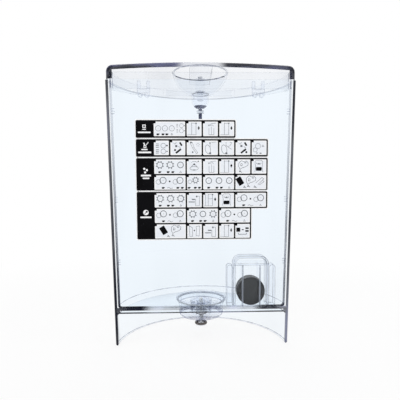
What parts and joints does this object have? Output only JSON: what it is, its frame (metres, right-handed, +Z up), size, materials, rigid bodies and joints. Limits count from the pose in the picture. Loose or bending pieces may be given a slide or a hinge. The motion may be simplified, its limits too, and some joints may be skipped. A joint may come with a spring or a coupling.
{
  "type": "removable water tank",
  "caption": "Clear D-shaped water tank with a lift-off lid, a finger bowl with a grip bar, a sprung outlet valve and a level float in a cage.",
  "frame": {"origin": "middle of the bounding box's underside, on the surface the tank stands on", "axes": "+Z up, +Y from the flat wall towards the round wall, +X to the right as the flat wall is seen from outside"},
  "size_m": [0.19, 0.092, 0.2871],
  "materials": {
    "clear_tank": "clear moulded plastic with a faint blue tint",
    "clear_lid": "clear moulded plastic, darker where it is seen edge-on",
    "clear_parts": "clear moulded plastic",
    "label_film": "printed film, black and white pictures without words",
    "float_grey": "dark grey, satin",
    "rubber": "dark brown-grey rubber",
    "seal_pale": "pale translucent rubber",
    "valve_white": "off-white moulded plastic",
    "spring_steel": "drawn stainless wire",
    "magnet": "sintered grey"
  },
  "bodies": {
    "tank": {"tank_shell": "clear_tank", "outlet_well": "clear_parts", "well_seal": "seal_pale", "spout_seal": "rubber", "valve_cage": "clear_parts", "valve_cap": "clear_parts", "valve_spring": "spring_steel", "float_cage": "clear_parts", "float_rail_left": "clear_parts", "float_rail_right": "clear_parts", "label_rinse": "label_film", "label_steam": "label_film", "label_clean": "label_film", "label_descale": "label_film"},
    "lid": {"lid_cover": "clear_lid", "lid_plug": "clear_lid", "grip_bowl": "clear_lid", "grip_bar": "clear_lid", "grip_stud": "clear_parts", "hanging_cup": "clear_parts", "lid_clip_left": "clear_parts", "lid_clip_right": "clear_parts"},
    "float": {"float_front": "float_grey", "float_back": "float_grey", "float_magnet": "magnet"},
    "poppet": {"valve_poppet": "valve_white", "poppet_seal": "rubber"}
  },
  "joints": [
    {"name": "lid_lift", "type": "slide", "parent": "tank", "child": "lid", "axis": [0, 0, 1], "range_m": [0, 0.075]},
    {"name": "float_rise", "type": "slide", "parent": "tank", "child": "float", "axis": [0, 0, 1], "range_m": [0, 0.019]},
    {"name": "valve_lift", "type": "slide", "parent": "tank", "child": "poppet", "axis": [0, 0, 1], "range_m": [0, 0.0035], "stiffness_N_per_m": 250, "springref_m": -0.004, "deforming": ["valve_spring"]}
  ]
}
